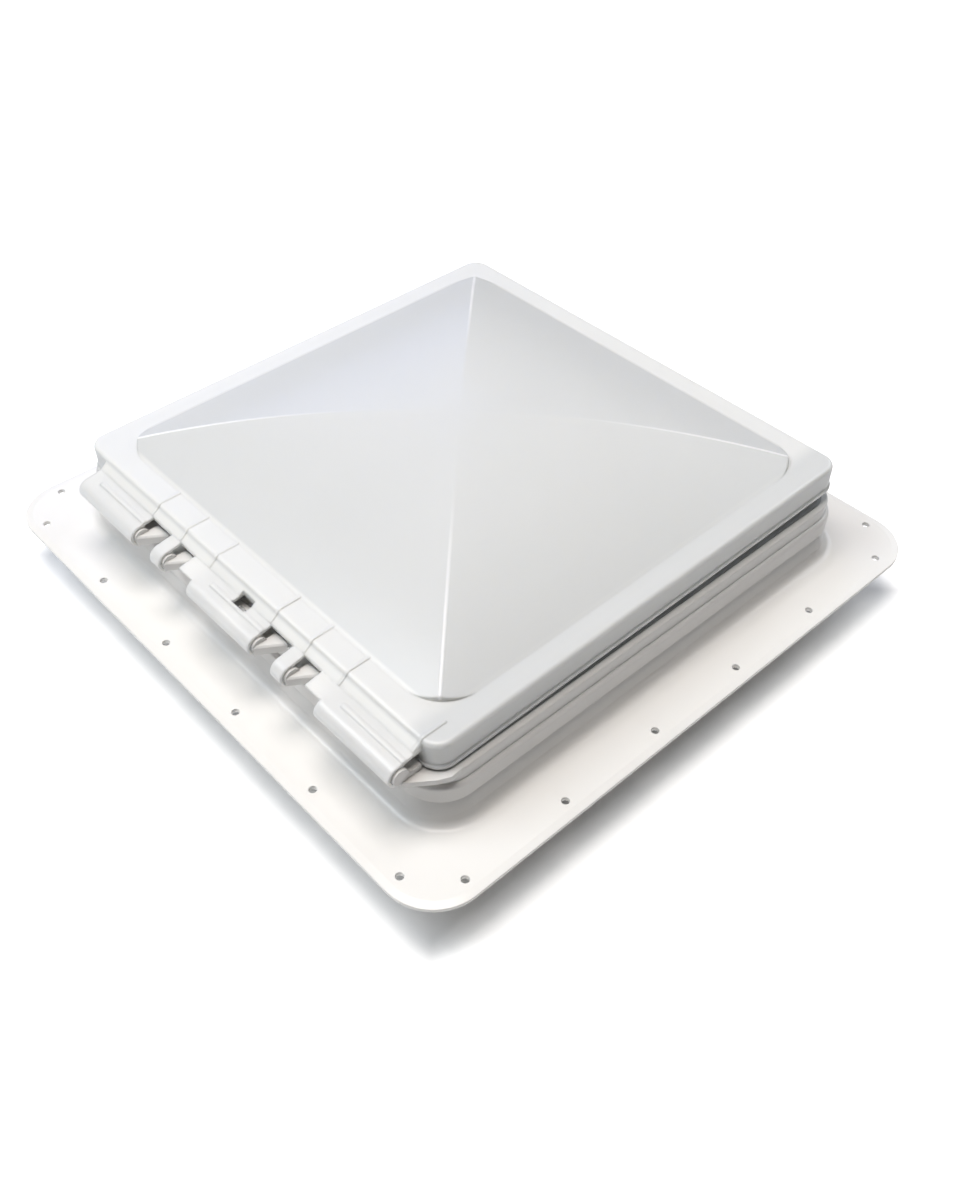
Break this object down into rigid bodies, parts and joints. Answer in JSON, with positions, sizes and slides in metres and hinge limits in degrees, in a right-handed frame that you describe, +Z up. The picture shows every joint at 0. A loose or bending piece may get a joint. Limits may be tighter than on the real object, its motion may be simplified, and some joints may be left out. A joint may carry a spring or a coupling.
{
  "type": "roof hatch",
  "caption": "Square caravan roof hatch: flanged curb with a domed lid on hooked hinges, lifted by a hand crank, worm and sector through one sliding arm, with an insect screen below",
  "frame": {"origin": "the middle of the flange's underside, which is the roof plane", "axes": "+Z is up out of the roof, X runs along the hinge, and the hinge is on the -Y side"},
  "size_m": [0.457, 0.457, 0.1447],
  "materials": {
    "white_abs": "smooth moulded white ABS with a soft sheen",
    "case_plastic": "white moulded operator case, fine grain",
    "knob_plastic": "off-white moulded knob, fine grain",
    "seal_rubber": "light grey moulded rubber seal",
    "zinc_steel": "zinc-plated steel sheet and shafts",
    "screw_steel": "stainless screw steel",
    "gear_nylon": "natural nylon, slightly waxy",
    "bush_nylon": "black nylon bushes and shoe",
    "screen_plastic": "white moulded screen frame",
    "net": "dark grey coated glass-fibre insect net",
    "spline_vinyl": "dark vinyl cord"
  },
  "bodies": {
    "frame": {"base_frame": "white_abs", "curb_gasket": "seal_rubber", "crossbar": "zinc_steel", "crossbar_screws": "screw_steel", "case_left": "case_plastic", "case_right": "case_plastic", "case_screws": "screw_steel", "foot_screws": "screw_steel", "pivot_bush_left": "bush_nylon", "pivot_bush_right": "bush_nylon", "crank_bush_upper": "bush_nylon", "crank_bush_lower": "bush_nylon", "screen_frame": "screen_plastic", "screen_net": "net", "screen_grommet": "bush_nylon", "screen_spline": "spline_vinyl", "screen_clips": "screen_plastic", "clip_screws": "screw_steel"},
    "lid": {"lid_shell": "white_abs", "lid_track": "zinc_steel", "track_screws": "screw_steel"},
    "arm": {"lift_arm": "zinc_steel", "pivot_shaft": "zinc_steel", "shaft_rings": "zinc_steel", "sector_gear": "gear_nylon", "tip_pin": "zinc_steel"},
    "shoe": {"track_shoe": "bush_nylon"},
    "crank": {"crank_shaft": "zinc_steel", "worm": "gear_nylon", "crank_knob": "knob_plastic", "knob_set_screw": "screw_steel"}
  },
  "joints": [
    {"name": "lid_hinge", "type": "hinge", "parent": "frame", "child": "lid", "pos_m": [0, -0.1955, 0.048], "axis": [1, 0, 0], "range_deg": [-1.2, 58.8]},
    {"name": "arm_pivot", "type": "hinge", "parent": "frame", "child": "arm", "pos_m": [0, -0.07616, 0.03546], "axis": [1, 0, 0], "range_deg": [-2.4, 117.6]},
    {"name": "shoe_pivot", "type": "hinge", "parent": "arm", "child": "shoe", "pos_m": [0.0182, 0.03436, 0.0822], "axis": [1, 0, 0], "range_deg": [-58.8, 1.2]},
    {"name": "crank_turn", "type": "hinge", "parent": "frame", "child": "crank", "pos_m": [0, -0.10031, 0], "axis": [0, 0, 1], "range_deg": [-57.6, 2822.4]}
  ],
  "couplings": [
    {"joint": "arm_pivot", "follows": "lid_hinge", "ratio": 2},
    {"joint": "shoe_pivot", "follows": "lid_hinge", "ratio": -1},
    {"joint": "crank_turn", "follows": "lid_hinge", "ratio": 48}
  ]
}
